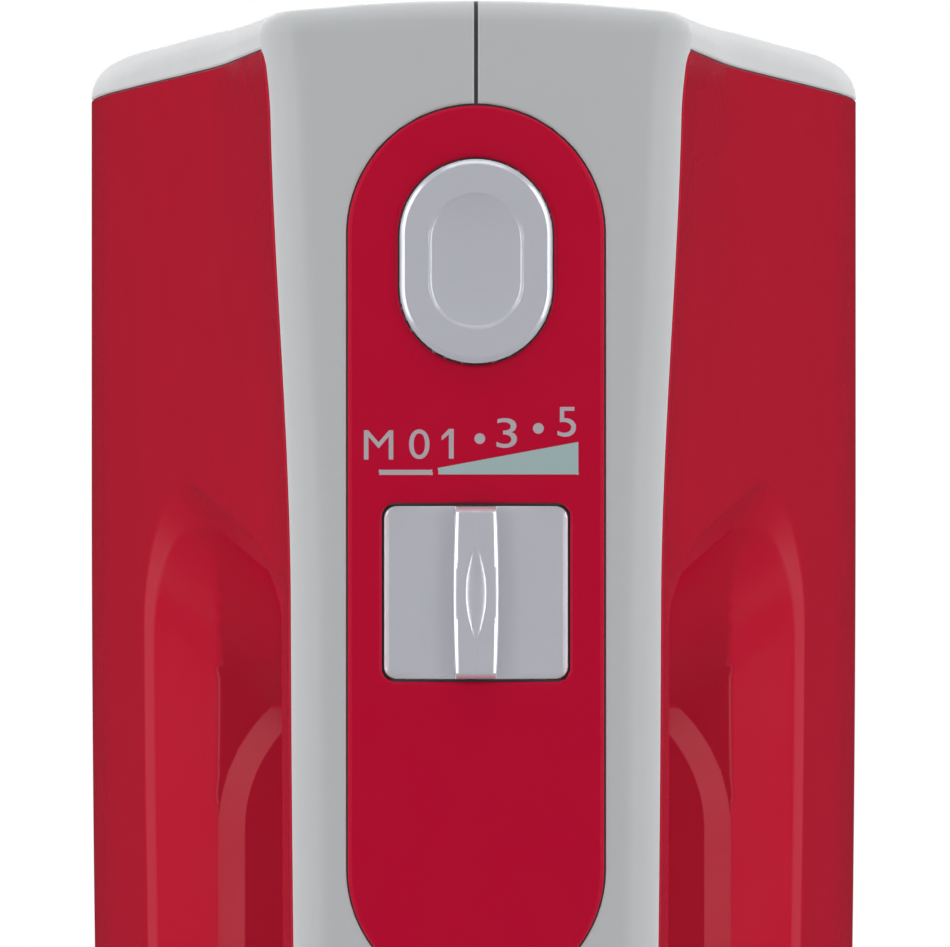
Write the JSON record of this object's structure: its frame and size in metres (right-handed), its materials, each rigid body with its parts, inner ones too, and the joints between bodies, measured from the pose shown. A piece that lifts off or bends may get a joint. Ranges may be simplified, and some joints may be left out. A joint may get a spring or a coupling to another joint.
{
  "type": "hand mixer",
  "caption": "Electric hand mixer with a closed-loop handle, an oval eject button, a ridged speed selector and two wire beaters, standing on its heel.",
  "frame": {"origin": "where the motor's axis meets the resting face of the heel pad", "axes": "+Z along the motor's axis from the heel to the nose; +X across the width, to the right of a viewer who faces the top of the handle; +Y from the handle towards the beaters"},
  "size_m": [0.0948, 0.2455, 0.2005],
  "materials": {
    "shell_grey": "satin",
    "cover_red": "gloss",
    "panel_red": "gloss",
    "silver_control": "silver lacquer",
    "rubber_dark": "matte",
    "inner_plastic": "matte",
    "gear_plastic": "matte",
    "steel": "ground",
    "beater_chrome": "polished",
    "bracket_cast": "cast",
    "lamination": "oiled sheet",
    "copper": "lacquered wire",
    "bronze": "sintered",
    "carbon": "matte",
    "board_green": "satin"
  },
  "bodies": {
    "housing": {"board_components": "inner_plastic", "brush_holders": "inner_plastic", "brush_springs": "steel", "carbon_brushes": "carbon", "circuit_board": "board_green", "control_panel": "panel_red", "cord_clamp": "inner_plastic", "cord_gland": "rubber_dark", "detent_spring": "steel", "eject_spring": "steel", "field_coils": "copper", "front_bearing": "bronze", "gear_cover": "bracket_cast", "gear_frame": "bracket_cast", "gear_frame_screws": "steel", "heel_pad": "rubber_dark", "housing_screws": "steel", "left_shell": "shell_grey", "left_side_cover": "cover_red", "motor_front_bracket": "bracket_cast", "motor_rear_bracket": "bracket_cast", "rear_bearing": "bronze", "right_shell": "shell_grey", "right_side_cover": "cover_red", "selector_pivot": "steel", "socket_plate": "inner_plastic", "speed_switch": "inner_plastic", "spindle_bushes": "bronze", "stator_core": "lamination", "thrust_block": "inner_plastic"},
    "armature": {"motor_shaft": "steel", "armature_core": "lamination", "armature_windings": "copper", "commutator": "copper", "fan": "inner_plastic"},
    "right_spindle_body": {"right_spindle": "steel", "right_worm_wheel": "gear_plastic"},
    "left_spindle_body": {"left_spindle": "steel", "left_worm_wheel": "gear_plastic"},
    "right_beater": {"right_beater_shank": "beater_chrome", "right_beater_collar": "beater_chrome", "right_beater_wires": "beater_chrome"},
    "left_beater": {"left_beater_shank": "beater_chrome", "left_beater_collar": "beater_chrome", "left_beater_wires": "beater_chrome"},
    "eject": {"eject_button": "silver_control", "eject_fork": "inner_plastic"},
    "selector": {"speed_slide": "silver_control", "selector_rocker": "inner_plastic"}
  },
  "joints": [
    {"name": "armature_spin", "type": "hinge", "parent": "housing", "child": "armature", "pos_m": [0, 0, 0.1], "axis": [0, 0, 1], "continuous": true},
    {"name": "right_spindle_spin", "type": "hinge", "parent": "housing", "child": "right_spindle_body", "pos_m": [0.0205, 0, 0.17], "axis": [0, 1, 0], "continuous": true},
    {"name": "left_spindle_spin", "type": "hinge", "parent": "housing", "child": "left_spindle_body", "pos_m": [-0.0205, 0, 0.17], "axis": [0, 1, 0], "continuous": true},
    {"name": "eject_press", "type": "slide", "parent": "housing", "child": "eject", "axis": [0, 1, 0], "range_m": [0, 0.005], "stiffness_N_per_m": 900, "springref_m": -0.004, "deforming": ["eject_spring"]},
    {"name": "right_beater_eject", "type": "slide", "parent": "right_spindle_body", "child": "right_beater", "axis": [0, 1, 0], "range_m": [0, 0.005]},
    {"name": "left_beater_eject", "type": "slide", "parent": "left_spindle_body", "child": "left_beater", "axis": [0, 1, 0], "range_m": [0, 0.005]},
    {"name": "speed_select", "type": "hinge", "parent": "housing", "child": "selector", "pos_m": [0, -0.077, 0.1366], "axis": [0, 0, 1], "range_deg": [-11, 11]}
  ],
  "couplings": [
    {"joint": "right_spindle_spin", "follows": "armature_spin", "ratio": -0.083333},
    {"joint": "left_spindle_spin", "follows": "armature_spin", "ratio": 0.083333},
    {"joint": "right_beater_eject", "follows": "eject_press", "ratio": 1},
    {"joint": "left_beater_eject", "follows": "eject_press", "ratio": 1}
  ]
}
